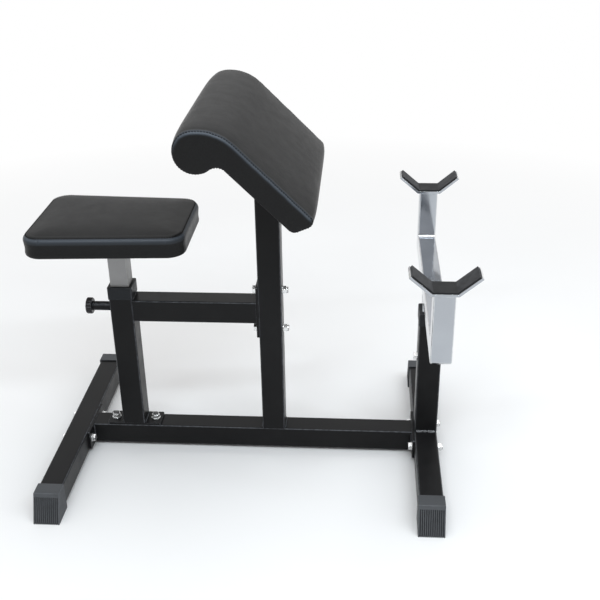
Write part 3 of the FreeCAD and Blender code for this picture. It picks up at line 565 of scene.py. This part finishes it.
def arm_profile(crown):
    """Points of the arm pad's section, lifted by the filling, with their outward ways and their freedom."""
    roll_radius = ROLL_RADIUS + crown * ROLL_CROWN / ARM_CROWN
    blend_radius = BLEND_RADIUS + crown
    rise = -BLEND_RADIUS - ROLL_CENTRE.y
    blend_reach = math.sqrt((blend_radius - roll_radius) ** 2 - rise ** 2)
    blend = Vector((ROLL_CENTRE.x + blend_reach, -BLEND_RADIUS))
    hook_drop = -ARM_DEPTH - HOOK_RADIUS - ROLL_CENTRE.y
    hook_reach = math.sqrt((roll_radius + HOOK_RADIUS) ** 2 - hook_drop ** 2)
    hook = ROLL_CENTRE + Vector((hook_reach, hook_drop))
    rounding = ARM_END_ROUNDING
    quarter = math.pi / 2
    end = ARM_END + crown / 2
    lean = math.atan2(ARM_END_SLANT, ARM_DEPTH + crown)
    end_way = Vector((math.cos(lean), -math.sin(lean)))
    top_centre = Vector((end - rounding * math.tan((quarter + lean) / 2), crown - rounding))
    low_reach = rounding * math.tan((quarter - lean) / 2)
    low_centre = Vector((end - ARM_END_SLANT - low_reach, rounding - ARM_DEPTH))
    samples = []

    def run(start, end, way, free, count):
        for index in range(count):
            samples.append((start.lerp(end, index / count), way, free))

    def bend(centre, radius, begin, stop, outward, free, count):
        for index in range(count):
            angle = begin + (stop - begin) * index / count
            way = Vector((math.cos(angle), math.sin(angle)))
            samples.append((centre + way * radius, way * outward, free))

    to_roll = math.atan2(ROLL_CENTRE.y - blend.y, ROLL_CENTRE.x - blend.x)
    to_hook = math.atan2(hook.y - ROLL_CENTRE.y, hook.x - ROLL_CENTRE.x)
    run(Vector((blend.x, crown)), Vector((top_centre.x, crown)), Vector((0, 1)), 1, 52)
    bend(top_centre, rounding, quarter, -lean, 1, 1, 12)
    run(top_centre + end_way * rounding, low_centre + end_way * rounding, end_way, 0.6, 8)
    bend(low_centre, rounding, -lean, -quarter, 1, 0.2, 8)
    run(Vector((low_centre.x, -ARM_DEPTH)), Vector((hook.x, -ARM_DEPTH)), Vector((0, -1)), 0, 42)
    bend(hook, HOOK_RADIUS, quarter, to_hook + math.pi, -1, 0.4, 16)
    bend(ROLL_CENTRE, roll_radius, to_hook, to_roll - 2 * math.pi, 1, 1, 50)
    bend(blend, blend_radius, to_roll, quarter, 1, 1, 22)
    frees = [free for _, _, free in samples]
    for _ in range(8):
        around = zip(frees[-1:] + frees[:-1], frees, frees[1:] + frees[:1])
        frees = [(before + 2 * free + after) / 4 for before, free, after in around]
    section = []
    for (place, way, _), free in zip(samples, frees):
        section.append((place, way, 0.0 if on_underside(place, way) else free))
    return section


arm_samples = arm_profile(0)
arm_swollen = arm_profile(ARM_CROWN)


def arm_place(spot, side):
    """A point of the arm pad, from its place in the section and across the pad."""
    return ARM_ORIGIN + ARM_U * spot.x + ARM_V * spot.y + Vector((0, side, 0))


def arm_way(way):
    """A direction of the section, along the bench's own axes."""
    return ARM_U * way.x + ARM_V * way.y


def arm_spot(index, side):
    """A point of the section and its outward direction, at a place across the pad."""
    share = math.sqrt(max(0.0, 1 - (abs(side) / ARM_HALF) ** 6))
    place, way, _ = arm_samples[index]
    full_place, full_way, _ = arm_swollen[index]
    return place.lerp(full_place, share), way.lerp(full_way, share).normalized()


def arm_seam(side):
    """The groove of an end panel's seam, and the lip of the cover beside it."""
    gap = ARM_SEAM - abs(side)
    return SEAM_LIP * bell(gap, 0.0034, 0.002) - SEAM_GROOVE * bell(gap, 0, 0.0012)


ARM_STRIPS = [ARM_SEAM * (index / 22 - 1) for index in range(45)]


def arm_filling():
    """The swelling of the arm pad's cover on a coarse grid."""
    rows = range(0, len(arm_samples), 2)
    width = len(rows)
    vertices = []
    held = []
    for side in ARM_STRIPS:
        for row in rows:
            vertices.append(arm_place(arm_spot(row, side)[0], side))
            held.append(1.0 if abs(side) > ARM_SEAM - 0.001 or arm_samples[row][2] == 0 else 0.0)
    faces = strip_faces(len(ARM_STRIPS), width)
    faces.append(tuple(range(width)))
    faces.append(tuple(reversed(range((len(ARM_STRIPS) - 1) * width, len(ARM_STRIPS) * width))))
    moves = simulate_filling(vertices, faces, held)
    lifts = []
    for strip, side in enumerate(ARM_STRIPS):
        line = []
        for index, row in enumerate(rows):
            way = arm_way(arm_spot(row, side)[1])
            line.append(max(0.0, moves[strip * width + index].dot(way)))
        lifts.append(line)
    factor = min(1.0, ARM_SWELL / max(max(line) for line in lifts))
    return [[lift * factor for lift in line] for line in lifts]


def lift_at(lifts, index, side):
    """The swelling at a point of the section and a place across the pad, between the points of the grid."""
    place = (side - ARM_STRIPS[0]) / (ARM_STRIPS[1] - ARM_STRIPS[0])
    if not 0 < place < len(ARM_STRIPS) - 1:
        return 0.0
    strip = int(place)
    first = index // 2
    second = (index + 1) // 2 % len(lifts[0])
    near = (lifts[strip][first] + lifts[strip][second]) / 2
    far = (lifts[strip + 1][first] + lifts[strip + 1][second]) / 2
    return near + (far - near) * (place - strip)


GATHER_REACH = 0.010


def pucker(distance, travelled, seed):
    """Small gathers of the cover beside a row of stitches."""
    slow = noise.noise(Vector((travelled * 38, seed, 0)))
    quick = noise.noise(Vector((travelled * 110, seed + 7, 0)))
    return bell(distance, 0, GATHER_REACH) * (0.0006 * slow + 0.0004 * quick)


def lengths_along(points):
    """Distance of each point from the first one, along the row of points."""
    travelled = [0.0]
    for index in range(1, len(points)):
        travelled.append(travelled[-1] + (points[index] - points[index - 1]).length)
    return travelled


def build_arm_pad():
    """The arm pad's upholstered cover with its end panels, stitches and staples."""
    lifts = arm_filling()
    edge = ARM_SEAM + PANEL_START
    insets = [
        0, 0.0008, 0.0015, 0.0022, 0.0029, 0.0037, 0.0047,
        0.0058, 0.007, 0.0085, 0.0105, 0.013, 0.017, 0.022,
    ]
    inner = edge - insets[-1]
    left = [inset - edge for inset in insets] + [inner * (index / 28 - 1) for index in range(1, 29)]
    sides = left + [-side for side in reversed(left[:-1])]
    count = len(arm_samples)
    travelled = lengths_along([sample[0] for sample in arm_samples])

    def spot_at(index, side):
        place, way = arm_spot(index, side)
        free = arm_samples[index][2]
        lift = lift_at(lifts, index, side)
        sewn = min(1.0, max(0.0, (free - 0.2) / 0.3))
        gather = pucker(abs(ARM_SEAM - abs(side)), travelled[index], 3 if side < 0 else 11)
        lift += sewn * (arm_seam(side) + gather)
        if free == 0:
            lift += FOLD_DROP
        return place + way * lift

    vertices = [arm_place(spot_at(index, side), side) for side in sides for index in range(count)]
    shown = [free > SEWN_FREEDOM for _, _, free in arm_samples]
    # Painted highlight along the seam lips and end panel rims, only on shown parts and stronger where the
    # cover faces up towards the lamps
    upward = [max(0.0, arm_way(arm_samples[index][1]).z) if shown[index] else 0.0 for index in range(count)]
    painted_highlight = []
    for side in sides:
        gap = ARM_SEAM - abs(side)
        lightened = max(0.9 * bell(gap, 0, 0.0014), 0.5 * bell(gap, 0.0024, 0.0012))
        painted_highlight += [lightened * share for share in upward]

    def bare(face):
        strip, index = divmod(face[0], count)
        place, _, free = arm_samples[index]
        middle = (sides[strip] + sides[strip + 1]) / 2
        within = BOARD_SHOWS_U[0] < place.x < BOARD_SHOWS_U[1] and abs(middle) < BOARD_SHOWS_HALF
        return free == 0 and within

    faces = [face for face in strip_faces(len(sides), count) if not bare(face)]
    depths = [0.0003, 0.0009, 0.0018, 0.003, 0.0044, 0.006, 0.008, 0.0105]
    for sign in (-1, 1):
        outline = [spot_at(index, sign * edge) for index in range(count)]
        spots, triangles = fill_outline(outline, depths, PANEL_SPACING)
        offset = len(vertices)
        for spot, depth, nearest in spots:
            # Painted highlight on the end panel's rounded rim, stronger where the section faces up
            painted_highlight.append(0.85 * bell(depth, 0.0012, 0.0023) * upward[nearest])
            turn = 1 - min(1.0, depth / PANEL_ROUNDING)
            proud = (ARM_HALF - edge) * math.sqrt(1 - turn ** 2)
            swell = PANEL_SWELL * (1 - math.exp(-max(0.0, depth - PANEL_ROUNDING) / 0.009))
            vertices.append(arm_place(spot, sign * (edge + proud + swell)))
        add_faces(faces, triangles, offset)
    pad = new_piece("arm_pad", vertices, faces, vinyl, "frame", painted_highlight)
    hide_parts("arm_cushion")

    start = next(index for index in range(count) if shown[index] and not shown[index - 1])
    order = [index % count for index in range(start, start + count) if shown[index % count]]
    for label, sign in (("right", -1), ("left", 1)):
        points = [arm_place(spot_at(index, sign * ARM_SEAM), sign * ARM_SEAM) for index in order]
        normals = [arm_way(arm_samples[index][1]) for index in order]
        stitch_row("arm_stitches_" + label, points, normals, "frame")

    places = []
    under = -ARM_DEPTH - FOLD_DROP
    for u in (BOARD_SHOWS_U[0] - STAPLE_INSET, BOARD_SHOWS_U[1] + STAPLE_INSET):
        for step in range(-8, 9):
            side = STAPLE_PITCH * step
            if abs(side) > BRACKET_CLEAR or u > BOARD_SHOWS_U[1]:
                places.append((arm_place(Vector((u, under)), side), Vector((0, 1, 0)), -ARM_V))
    for side in (-BOARD_SHOWS_HALF - STAPLE_INSET, BOARD_SHOWS_HALF + STAPLE_INSET):
        for step in range(4):
            u = BOARD_SHOWS_U[0] + STAPLE_PITCH * (step + 0.5)
            places.append((arm_place(Vector((u, under)), side), ARM_U, -ARM_V))
    staples("arm_staples", places, "frame")


build_arm_pad()


# Seat pad, measured from the middle of its underside

SEAT_MIDDLE = Vector((-0.283, 0, 0.516))
SEAT_HALF = 0.163
SEAT_REAR = 0.130
SEAT_FRONT = 0.112
SEAT_CORNER = 0.038
SEAT_SEAM = 0.0066
SEAT_RIM = 0.0320
SEAT_ROUNDING = 0.0140
SEAT_RIM_RISE = 0.0125
SEAT_CROWN = 0.0042
SEAT_CROWN_REACH = 0.075
SEAT_SWELL = 0.0022
SEAT_FOLD = 0.0008
SEAT_HELD = 0.006
SEAT_GROOVE = 0.0004
SEAT_GATHER = 0.4
SEAT_SPACING = 0.007
SEAT_STAPLES = 0.024


def seat_outline():
    """Points of the seat's outline with their outward directions."""
    corners = [
        Vector((-SEAT_HALF, -SEAT_REAR)),
        Vector((SEAT_HALF, -SEAT_FRONT)),
        Vector((SEAT_HALF, SEAT_FRONT)),
        Vector((-SEAT_HALF, SEAT_REAR)),
    ]
    arcs = []
    for index, corner in enumerate(corners):
        back = (corners[index - 1] - corner).normalized()
        ahead = (corners[(index + 1) % 4] - corner).normalized()
        half = back.angle(ahead) / 2
        centre = corner + (back + ahead).normalized() * (SEAT_CORNER / math.sin(half))
        start = (corner + back * (SEAT_CORNER / math.tan(half)) - centre).normalized()
        end = (corner + ahead * (SEAT_CORNER / math.tan(half)) - centre).normalized()
        arcs.append((centre, start, end))
    samples = []
    for index, (centre, start, end) in enumerate(arcs):
        for step in range(20):
            way = start.lerp(end, step / 20).normalized()
            samples.append((centre + way * SEAT_CORNER, way))
        onward_centre, onward_start, _ = arcs[(index + 1) % 4]
        first = centre + end * SEAT_CORNER
        last = onward_centre + onward_start * SEAT_CORNER
        for step in range(56):
            samples.append((first.lerp(last, step / 56), end))
    return samples


seat_samples = seat_outline()


def seat_place(spot, height):
    """A point of the seat pad, from its place in plan and its height."""
    return SEAT_MIDDLE + Vector((spot.x, spot.y, height))


def seat_height(depth):
    """Height of the seat's cover at a distance in from its rim, before the filling swells it."""
    turn = 1 - min(1.0, depth / SEAT_ROUNDING)
    inward = min(1.0, max(0.0, depth - SEAT_ROUNDING) / SEAT_CROWN_REACH)
    groove = SEAT_GROOVE * bell(depth, SEAT_SEAM, 0.0014)
    crown = SEAT_CROWN * (1 - (1 - inward) ** 3)
    return SEAT_RIM + SEAT_RIM_RISE * math.sqrt(1 - turn ** 2) + crown - groove


def seat_painted_highlight(distance):
    """How much painted highlight the seat's cover gets at a distance in from its rim or up its side."""
    return 0.65 * bell(distance, 0.0028, 0.0026)


def seat_filling():
    """Points of a coarse cover over the seat's filling, and how far each one swells."""
    outline = [place for place, _ in seat_samples[::3]]
    spots, triangles = fill_outline(outline, [0.004, 0.0085, 0.015, 0.023], 0.009)
    vertices = [seat_place(spot, seat_height(depth)) for spot, depth, _ in spots]
    held = [1.0 if depth < SEAT_HELD else 0.0 for _, depth, _ in spots]
    moves = simulate_filling(vertices, triangles, held)
    most = max(move.z for move in moves)
    lifts = [max(0.0, move.z) * min(1.0, SEAT_SWELL / most) for move in moves]
    tree = kdtree.KDTree(len(spots))
    for index, (spot, _, _) in enumerate(spots):
        tree.insert(spot.to_3d(), index)
    tree.balance()
    return tree, lifts


def swell_at(filling, spot):
    """The swelling of the seat's cover at a place, from the nearest points of the coarse cover."""
    tree, lifts = filling
    total = 0.0
    weights = 0.0
    for _, index, gap in tree.find_n(spot.to_3d(), 8):
        weight = 1 / (gap ** 2 + 0.000016)
        total += weight * lifts[index]
        weights += weight
    return total / weights


def build_seat_pad():
    """The seat's upholstered cover, folded under its board, with its stitches and staples."""
    filling = seat_filling()
    # Inset and height of each ring, from the fold under the board up to the rim
    wall = [
        (0.0305, 0.0006), (0.0305, -SEAT_FOLD), (0.020, -SEAT_FOLD), (0.010, -SEAT_FOLD), (0.0055, -0.0006),
        (0.0028, 0.0004), (0.0011, 0.0024), (0.0005, 0.0055), (0.0010, 0.0105), (0.0014, 0.0155),
        (0.0011, 0.0205), (0.0006, 0.0252), (0.0002, 0.0293), (0.0, SEAT_RIM),
    ]
    count = len(seat_samples)
    travelled = lengths_along([place for place, _ in seat_samples])
    gathers = [SEAT_GATHER * pucker(0.003, length, 23) for length in travelled]
    vertices = []
    painted_highlight = []
    for inset, height in wall:
        # Painted highlight on the wall just under the rim
        painted_highlight += [seat_painted_highlight(height - SEAT_RIM)] * count
        fade = bell(height, SEAT_RIM, GATHER_REACH)
        for index, (place, way) in enumerate(seat_samples):
            vertices.append(seat_place(place - way * (inset - gathers[index] * fade), height))
    faces = strip_faces(len(wall), count)
    outline = [place + way * gathers[index] for index, (place, way) in enumerate(seat_samples)]
    depths = [
        0.0003, 0.0009, 0.0018, 0.003, 0.0043, 0.0055, SEAT_SEAM, 0.0077,
        0.009, 0.0106, 0.0124, 0.0142, 0.0168, 0.02, 0.025, 0.031,
    ]
    spots, triangles = fill_outline(outline, depths, SEAT_SPACING)
    offset = len(vertices)
    for spot, depth, _ in spots:
        # Painted highlight on the rim's rounding
        painted_highlight.append(seat_painted_highlight(depth))
        swell = swell_at(filling, spot) * min(1.0, depth / SEAT_HELD)
        vertices.append(seat_place(spot, seat_height(depth) + swell))
    add_faces(faces, triangles, offset)
    pad = new_piece("seat_pad", vertices, faces, vinyl, "seat", painted_highlight)
    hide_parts("seat_cushion")
    closed = seat_samples + seat_samples[:1]
    sewn = [place - way * SEAT_SEAM for place, way in closed]
    points = [seat_place(spot, seat_height(SEAT_SEAM) + swell_at(filling, spot)) for spot in sewn]
    stitch_row("seat_stitches", points, [Vector((way.x, way.y, 1.8)) for _, way in closed], "seat")
    places = []
    for index in range(0, count, 8):
        place, way = seat_samples[index]
        ahead = Vector((-way.y, way.x, 0))
        places.append((seat_place(place - way * SEAT_STAPLES, -SEAT_FOLD), ahead, Vector((0, 0, -1))))
    staples("seat_staples", places, "seat")


build_seat_pad()


# Welds and nut inserts

def weld(name, start, end, material, radius=0.003, slot="frame_black"):
    """A rippled weld bead along a straight joint."""
    path = along(Vector(start), Vector(end), 0.0009)
    radii = []
    for index, point in enumerate(path):
        ripple = 0.16 * math.sin(index * 0.9 / 3.4 * 2 * math.pi)
        uneven = 0.25 * noise.noise(point * 130)
        close = min(1.0, (min(index, len(path) - 1 - index) + 1) / 4)
        radii.append(radius * (1 + ripple + uneven) * math.sqrt(close))
    vertices, faces = tube_rings(path, radii, 10)
    return new_piece(name, vertices, faces, material, "frame")


def middle_of(name):
    """Middle of a node's box."""
    low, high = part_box(name)
    return (low + high) / 2


TUBE_HALF = 0.025
WELD_RUN = 0.021
MID_POST_FOOT = 0.0565
FRONT_POST_FOOT = 0.059
SEAT_POST_FOOT = 0.0615
BEAM_WELD = (0.011, 0.052)
WELD_RADIUS = {"front_post": 0.0034, "crossbar_rear": 0.0024, "crossbar_front": 0.0024}
BARREL_WELD = 0.0103
PLATE_BOLT = 0.046
BASE_BOLT_LEVEL = 0.033
STEM_BOLT_LEVEL = 0.240
CROSSBAR_BOLT_LEVELS = (0.304, 0.396)
NUT_REACH = 0.012
INSERT_RADIUS = 0.0057
INSERT_WIRE = 0.0008
RING_STEPS = 32


def build_welds():
    """Weld beads where the frame's tubes and plates meet."""
    run = WELD_RUN
    low_end, high_end = BEAM_WELD
    mid_x = middle_of("mid_post").x
    front_x = middle_of("front_post").x
    seat_x = middle_of("seat_post").x
    beam_low, beam_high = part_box("main_beam")
    bar_low, bar_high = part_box("crossbar")
    for label, sign in (("a", -1), ("b", 1)):
        side = sign * TUBE_HALF
        level = (bar_low.z + bar_high.z) / 2 + side
        rear, front = beam_low.x, beam_high.x
        bar_rear, bar_front = bar_low.x, bar_high.x
        mid, seat = mid_x + side, seat_x + side
        ends_of_joint = {
            "mid_post": ((mid, -run, MID_POST_FOOT), (mid, run, MID_POST_FOOT)),
            "front_post": ((front_x - run, side, FRONT_POST_FOOT), (front_x + run, side, FRONT_POST_FOOT)),
            "seat_post": ((seat, -run, SEAT_POST_FOOT), (seat, run, SEAT_POST_FOOT)),
            "beam_rear": ((rear, side, low_end), (rear, side, high_end)),
            "beam_front": ((front, side, low_end), (front, side, high_end)),
            "crossbar_rear": ((bar_rear, -run, level), (bar_rear, run, level)),
            "crossbar_front": ((bar_front, -run, level), (bar_front, run, level)),
        }
        for joint, ends in ends_of_joint.items():
            # The front post's welds get the coat with painted highlight patches
            material = weld_coat_painted_highlights if joint == "front_post" else coat
            radius = WELD_RADIUS.get(joint, 0.003)
            weld("weld_%s_%s" % (joint, label), *ends, material, radius)
    barrel = middle_of("pin_barrel")
    post_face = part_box("seat_post")[0].x
    ring = []
    radii = []
    for step in range(72):
        angle = 2 * math.pi * step / 72
        y, z = BARREL_WELD * math.cos(angle), barrel.z + BARREL_WELD * math.sin(angle)
        ring.append(Vector((post_face - 0.0008, y, z)))
        radii.append(0.0021 * (1 + 0.15 * math.sin(step * 1.6) + 0.2 * noise.noise(ring[step] * 150)))
    vertices, faces = tube_rings(ring, radii, 8, True)
    new_piece("weld_pin_barrel", vertices, faces, coat, "frame")
    for hand in ("left", "right"):
        low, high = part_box(hand + "_cradle")
        centre = (low + high) / 2
        for label, sign in (("a", -1), ("b", 1)):
            side = centre.y + sign * 0.020
            ends = (centre.x - 0.017, side, low.z), (centre.x + 0.017, side, low.z)
            weld("weld_%s_cradle_%s" % (hand, label), *ends, chrome, 0.0018, "chrome")


def build_nut_inserts():
    """Nylon rings in the ends of the lock nuts."""
    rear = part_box("frame_bolts")[0].x + 0.001
    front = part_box("front_base_tube")[1].x + NUT_REACH
    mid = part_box("mid_post")[1].x + NUT_REACH
    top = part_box("foot_bolts")[1].z - 0.001
    seat_x = middle_of("seat_post").x
    ahead = Vector((1, 0, 0))
    upright = Vector((0, 0, 1))
    places = [(Vector((rear, side, BASE_BOLT_LEVEL)), -ahead) for side in (-PLATE_BOLT, PLATE_BOLT)]
    places += [(Vector((front, side, BASE_BOLT_LEVEL)), ahead) for side in (-PLATE_BOLT, PLATE_BOLT)]
    places.append((Vector((front, 0, STEM_BOLT_LEVEL)), ahead))
    places += [(Vector((mid, 0, level)), ahead) for level in CROSSBAR_BOLT_LEVELS]
    places += [(Vector((seat_x + shift, 0, top)), upright) for shift in (-PLATE_BOLT, PLATE_BOLT)]
    vertices = []
    faces = []
    for centre, axis in places:
        across = axis.orthogonal().normalized()
        upward = axis.cross(across)
        ring = []
        for step in range(RING_STEPS):
            angle = 2 * math.pi * step / RING_STEPS
            ring.append(centre + (across * math.cos(angle) + upward * math.sin(angle)) * INSERT_RADIUS)
        add_tube(vertices, faces, ring, [INSERT_WIRE] * RING_STEPS, 8, True)
    new_piece("nut_inserts", vertices, faces, knob_plastic, "frame")


build_welds()
build_nut_inserts()


# Camera

def add_camera():
    """A camera at the photograph's place and angle."""
    data = bpy.data.cameras.new("Camera")
    data.lens = 56.066
    camera = bpy.data.objects.new("Camera", data)
    scene.collection.objects.link(camera)
    yaw = -0.073369
    pitch = 0.471218
    roll = -0.016055
    ahead = Vector((math.sin(yaw) * math.cos(pitch), math.cos(yaw) * math.cos(pitch), -math.sin(pitch)))
    side = Vector((math.cos(yaw), -math.sin(yaw), 0))
    up = side.cross(ahead)
    right = side * math.cos(roll) + up * math.sin(roll)
    top = up * math.cos(roll) - side * math.sin(roll)
    turn = Matrix((right, top, -ahead)).transposed().to_4x4()
    camera.matrix_world = Matrix.Translation((0.2309, -1.7743, 1.2784)) @ turn
    scene.camera = camera


# Floor and light

LAMP_SHARE = 0.6


def seen_directly(tree):
    """One for a ray from the camera or from a mirror-like or clear surface, and zero for other light."""
    rays = add_node(tree, "ShaderNodeLightPath")
    share = rays.outputs["Is Camera Ray"]
    for kind in ("Is Glossy Ray", "Is Transmission Ray"):
        share = combine(tree, "MAXIMUM", share, rays.outputs[kind])
    return share


def add_floor():
    """A plain pale floor that goes over into a white backdrop away from the object."""
    mesh = bpy.data.meshes.new("floor")
    reach = 40
    corners = [(-reach, -reach, 0), (reach, -reach, 0), (reach, reach, 0), (-reach, reach, 0)]
    mesh.from_pydata(corners, [], [(0, 1, 2, 3)])
    material, tree, shader = new_material("floor")
    where = place_in_metres(tree)
    cloud = spread(tree, noise_at(tree, where, 1.5), 0, 1)
    color = mix_colors(tree, cloud, (0.91, 0.91, 0.91), (0.93, 0.93, 0.93))
    tree.links.new(color, shader.inputs["Base Color"])
    shader.inputs["Roughness"].default_value = 0.9
    shader.inputs["Specular IOR Level"].default_value = 0.0
    away = add_node(tree, "ShaderNodeVectorMath", operation="LENGTH")
    tree.links.new(where, away.inputs[0])
    distant = spread(tree, away.outputs["Value"], 0, 1, 0.9, 2.4)
    share = combine(tree, "MULTIPLY", distant, seen_directly(tree))
    white = add_node(tree, "ShaderNodeEmission")
    tree.links.new(spread(tree, away.outputs["Value"], 1, 0.55, 8, 30), white.inputs["Strength"])
    both = add_node(tree, "ShaderNodeMixShader")
    tree.links.new(share, both.inputs["Fac"])
    tree.links.new(shader.outputs["BSDF"], both.inputs[1])
    tree.links.new(white.outputs["Emission"], both.inputs[2])
    tree.links.new(both.outputs["Shader"], tree.nodes["Material Output"].inputs["Surface"])
    mesh.materials.append(material)
    floor = bpy.data.objects.new("floor", mesh)
    scene.collection.objects.link(floor)


def add_light(name, location, target, size, power, color=(1, 1, 1)):
    """A soft rectangular light that faces a target."""
    data = bpy.data.lights.new(name, "AREA")
    data.shape = "RECTANGLE"
    data.size, data.size_y = size
    data.energy = power
    data.color = color
    light = bpy.data.objects.new(name, data)
    light.location = location
    light.rotation_mode = "QUATERNION"
    light.rotation_quaternion = (Vector(target) - Vector(location)).to_track_quat("-Z", "Y")
    light.visible_camera = False
    scene.collection.objects.link(light)


def add_world():
    """A pale studio, brighter above than at the horizon, and dimmer as a lamp than it looks."""
    world = bpy.data.worlds.new("studio")
    scene.world = world
    world.use_nodes = True
    tree = world.node_tree
    background = tree.nodes["Background"]
    where = add_node(tree, "ShaderNodeTexCoord")
    parts = add_node(tree, "ShaderNodeSeparateXYZ")
    tree.links.new(where.outputs["Generated"], parts.inputs["Vector"])
    colors = add_node(tree, "ShaderNodeValToRGB")
    ramp = colors.color_ramp
    for share, level in ((0.5, 0.55), (0.56, 0.6), (0.66, 0.98), (0.75, 1.0)):
        ramp.elements.new(share).color = (level, level, level, 1)
    ramp.elements[0].color = (0.5, 0.5, 0.5, 1)
    ramp.elements[-1].color = (1, 1, 1, 1)
    tree.links.new(spread(tree, parts.outputs["Z"], 0, 1, -1, 1), colors.inputs["Fac"])
    tree.links.new(colors.outputs["Color"], background.inputs["Color"])
    tree.links.new(spread(tree, seen_directly(tree), LAMP_SHARE, 1, 0, 1), background.inputs["Strength"])


add_camera()
add_floor()
add_world()
add_light("overhead", (0.0, 0.4, 3.4), (0, 0, 0.3), (3.0, 2.4), 36)
add_light("front_strip", (0.6, -2.0, 3.0), (0.1, 0, 0.5), (3.6, 0.18), 56, (0.86, 0.94, 1.0))
add_light("side_strip", (2.9, -1.1, 2.6), (0.1, 0, 0.6), (0.2, 2.6), 15, (0.86, 0.94, 1.0))

scene.view_settings.view_transform = "Standard"
